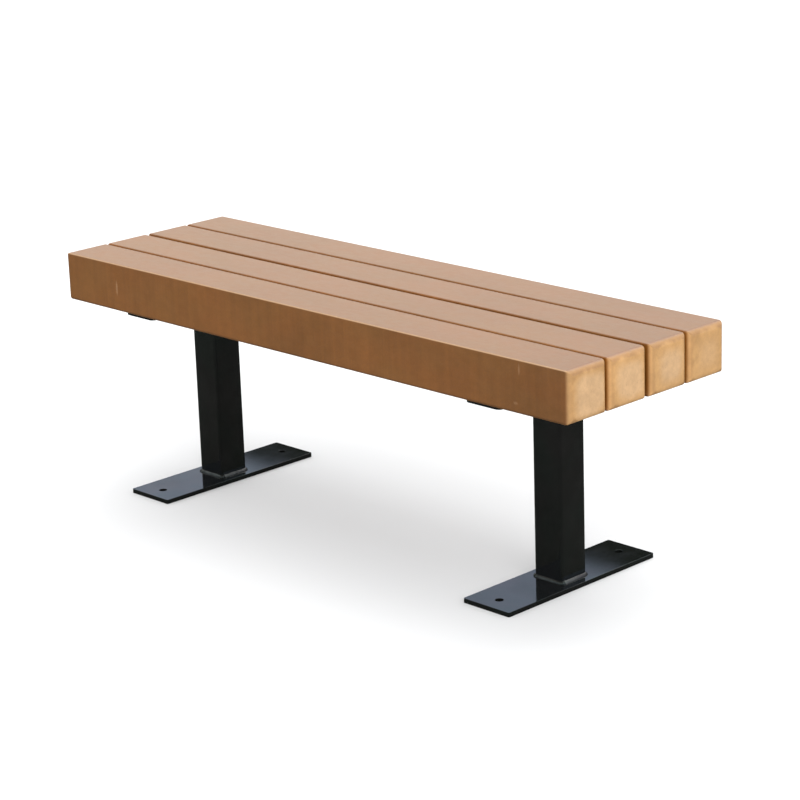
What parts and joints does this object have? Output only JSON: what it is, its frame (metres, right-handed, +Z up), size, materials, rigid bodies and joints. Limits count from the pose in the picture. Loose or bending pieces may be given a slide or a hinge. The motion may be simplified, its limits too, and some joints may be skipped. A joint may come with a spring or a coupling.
{
  "type": "backless bench",
  "caption": "Backless park bench with a flat seat of thick plastic lumber slats on welded steel pedestal legs that bolt down to the ground through foot plates.",
  "frame": {"origin": "on the ground plane, under the middle of the seat, midway between the two legs", "axes": "+X along the length of the seat, +Y from the front edge to the back edge, +Z up"},
  "size_m": [1.2192, 0.371, 0.432],
  "materials": {
    "plastic_lumber": "moulded recycled plastic lumber, tan brown, matte, faintly mottled",
    "black_powder_coat": "glossy black powder coat on mild steel",
    "zinc_plated_steel": "dull zinc plating on steel fasteners"
  },
  "bodies": {
    "root": {"front_slat": "plastic_lumber", "middle_front_slat": "plastic_lumber", "middle_back_slat": "plastic_lumber", "back_slat": "plastic_lumber", "left_base_plate": "black_powder_coat", "left_post": "black_powder_coat", "left_seat_plate": "black_powder_coat", "left_base_weld": "black_powder_coat", "left_seat_weld": "black_powder_coat", "right_base_plate": "black_powder_coat", "right_post": "black_powder_coat", "right_seat_plate": "black_powder_coat", "right_base_weld": "black_powder_coat", "right_seat_weld": "black_powder_coat", "left_washers": "zinc_plated_steel", "left_lag_screws": "zinc_plated_steel", "right_washers": "zinc_plated_steel", "right_lag_screws": "zinc_plated_steel"}
  },
  "joints": []
}
